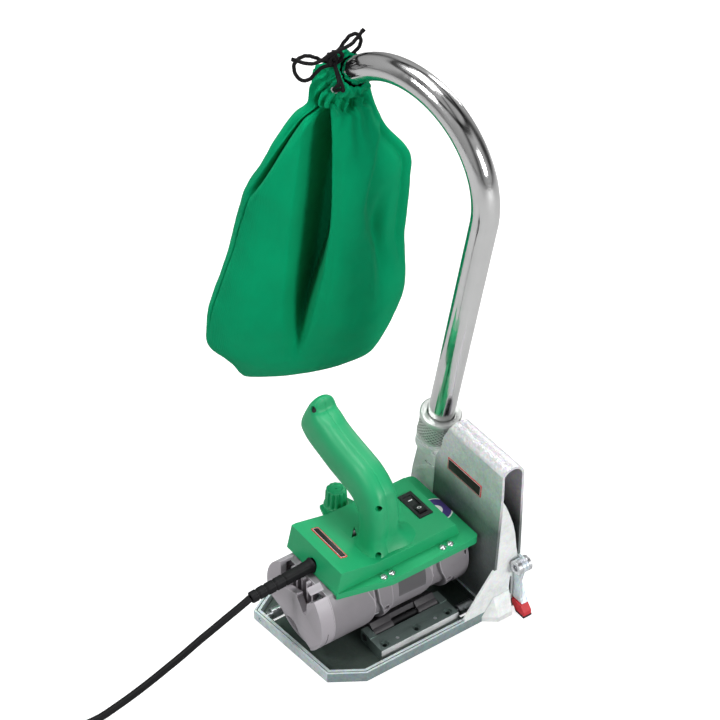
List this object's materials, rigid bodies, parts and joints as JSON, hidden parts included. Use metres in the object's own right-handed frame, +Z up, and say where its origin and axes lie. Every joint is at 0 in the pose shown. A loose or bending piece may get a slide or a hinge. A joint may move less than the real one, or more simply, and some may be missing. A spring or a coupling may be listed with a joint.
{
  "type": "electric floor seam groover",
  "caption": "Hand-guided electric floor groover: tilting motor and blade on a rolling base plate, green arched handle, blade shroud, and a steel pipe to a cloth dust bag.",
  "frame": {"origin": "on the sole, under the middle of the base plate", "axes": "+X along the motor shaft towards the blade, -Y the way the tool is pushed, +Z up"},
  "size_m": [0.6599, 0.4048, 0.5854],
  "materials": {
    "zinc_sheet": "dull galvanised, fine grain",
    "dark_block": "satin, machined",
    "steel": "plain turned and ground",
    "blade_steel": "ground",
    "collar_steel": "knurled, satin",
    "pipe_steel": "polished",
    "green_plastic": "moulded, soft gloss",
    "grey_plastic": "moulded, fine grain",
    "black_plastic": "moulded",
    "black_rubber": "moulded",
    "copper": "enamelled wire and bars",
    "red_label": "blank printed label",
    "green_cloth": "plain woven cotton",
    "black_string": "round braid"
  },
  "bodies": {
    "base": {"base_plate": "zinc_sheet", "hinge_block": "dark_block", "dowel_pins": "steel", "hinge_pin": "steel", "roller_axles": "steel", "blade_shroud": "zinc_sheet", "front_web": "zinc_sheet", "socket_casting": "zinc_sheet", "sheet_screws": "steel", "guide_nose": "zinc_sheet", "shroud_label": "red_label", "pointer_bracket": "zinc_sheet", "pointer_bolt": "steel", "depth_pad": "steel"},
    "left_roller_body": {"left_roller": "steel"},
    "rear_roller_body": {"rear_roller": "steel"},
    "front_roller_body": {"front_roller": "steel"},
    "pointer": {"guide_pointer": "zinc_sheet", "pointer_tip": "red_label"},
    "carriage": {"motor_cradle": "dark_block", "rear_housing": "grey_plastic", "vent_cap": "grey_plastic", "field_case": "grey_plastic", "drive_end_case": "grey_plastic", "case_screws": "steel", "rating_plate": "black_plastic", "stator_core": "steel", "field_coils": "copper", "brush_holders": "black_plastic", "carbon_brushes": "black_plastic", "rear_bearing": "steel", "front_bearing": "steel", "switch_box": "green_plastic", "box_screws": "steel", "name_label": "red_label", "handle_left": "green_plastic", "handle_right": "green_plastic", "handle_screws": "black_plastic", "grip_pad": "black_plastic", "switch_body": "black_plastic", "strain_relief": "black_rubber", "power_cord": "black_rubber", "cord_coil": "black_rubber", "mains_plug": "black_rubber"},
    "rotor": {"armature_shaft": "steel", "armature_core": "copper", "commutator": "copper", "cooling_fan": "black_plastic", "milling_blade": "blade_steel", "blade_flanges": "blade_steel", "blade_nut": "blade_steel"},
    "rocker_body": {"rocker": "black_plastic"},
    "dial": {"depth_dial": "green_plastic"},
    "plunger": {"depth_plunger": "steel"},
    "collar": {"collar_nut": "collar_steel"},
    "pipe": {"extraction_pipe": "pipe_steel", "dust_bag": "green_cloth", "drawstring": "black_string"}
  },
  "joints": [
    {"name": "carriage_tilt", "type": "hinge", "parent": "base", "child": "carriage", "pos_m": [0, -0.033, 0.012], "axis": [1, 0, 0], "range_deg": [-5.4, 0]},
    {"name": "rotor_spin", "type": "hinge", "parent": "carriage", "child": "rotor", "pos_m": [0, 0.008, 0.0585], "axis": [1, 0, 0], "continuous": true},
    {"name": "left_roller_spin", "type": "hinge", "parent": "base", "child": "left_roller_body", "pos_m": [-0.116, 0.056, 0.006], "axis": [1, 0, 0], "continuous": true},
    {"name": "rear_roller_spin", "type": "hinge", "parent": "base", "child": "rear_roller_body", "pos_m": [0.03, 0.073, 0.006], "axis": [1, 0, 0], "continuous": true},
    {"name": "front_roller_spin", "type": "hinge", "parent": "base", "child": "front_roller_body", "pos_m": [0.045, -0.052, 0.006], "axis": [1, 0, 0], "continuous": true},
    {"name": "dial_turn", "type": "hinge", "parent": "carriage", "child": "dial", "pos_m": [-0.03, 0.073, 0.1], "axis": [0, 0, 1], "range_deg": [0, 270]},
    {"name": "plunger_slide", "type": "slide", "parent": "carriage", "child": "plunger", "axis": [0, 0, 1], "range_m": [0, 0.0101]},
    {"name": "rocker_tilt", "type": "hinge", "parent": "carriage", "child": "rocker_body", "pos_m": [0.0275, 0.013, 0.106], "axis": [1, 0, 0], "range_deg": [0, 16]},
    {"name": "pointer_fold", "type": "hinge", "parent": "base", "child": "pointer", "pos_m": [0.0916, -0.084, 0.065], "axis": [1, 0, 0], "range_deg": [-110, 0]},
    {"name": "collar_turn", "type": "hinge", "parent": "base", "child": "collar", "pos_m": [0.08546, 0.04805, 0.1845], "axis": [0.0313, -0.1778, 0.9836], "range_deg": [0, 270]},
    {"name": "pipe_swivel", "type": "hinge", "parent": "base", "child": "pipe", "pos_m": [0.08546, 0.04805, 0.1845], "axis": [0.0313, -0.1778, 0.9836], "range_deg": [-100, 8]}
  ],
  "couplings": [
    {"joint": "dial_turn", "follows": "carriage_tilt", "ratio": -50},
    {"joint": "plunger_slide", "follows": "carriage_tilt", "m_per_rad": -0.106}
  ]
}
